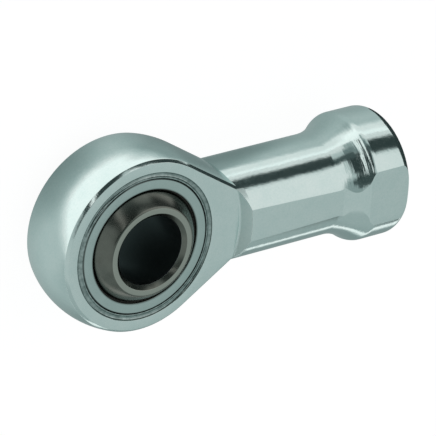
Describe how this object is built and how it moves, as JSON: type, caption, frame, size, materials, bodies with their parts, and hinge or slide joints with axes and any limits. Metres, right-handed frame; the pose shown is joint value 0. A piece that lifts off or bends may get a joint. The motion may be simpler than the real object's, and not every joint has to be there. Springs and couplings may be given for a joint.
{
  "type": "rod eye",
  "caption": "Forged rod eye with a tapped shank, a wrench collar and a swivelling ball in a dry-running spherical plain bearing.",
  "frame": {"origin": "centre of the ball, where the pin bore's axis crosses the shank's axis", "axes": "+Z along the pin bore, out of the upper face; +X along the shank to its tapped end; +Y across the head"},
  "size_m": [0.066, 0.032, 0.0198],
  "materials": {
    "housing": "bright zinc plating with a faint blue-green tint over a smooth forging",
    "race": "turned and plated steel",
    "liner": "dark woven sliding liner",
    "ball": "ground and polished bearing steel"
  },
  "bodies": {
    "eye": {"housing": "housing", "race": "race", "liner": "liner"},
    "ball": {"ball": "ball"}
  },
  "joints": [
    {"name": "ball_tilt", "type": "hinge", "parent": "eye", "child": "ball", "pos_m": [0, 0, 0], "axis": [0, 1, 0], "range_deg": [-13, 13]}
  ]
}
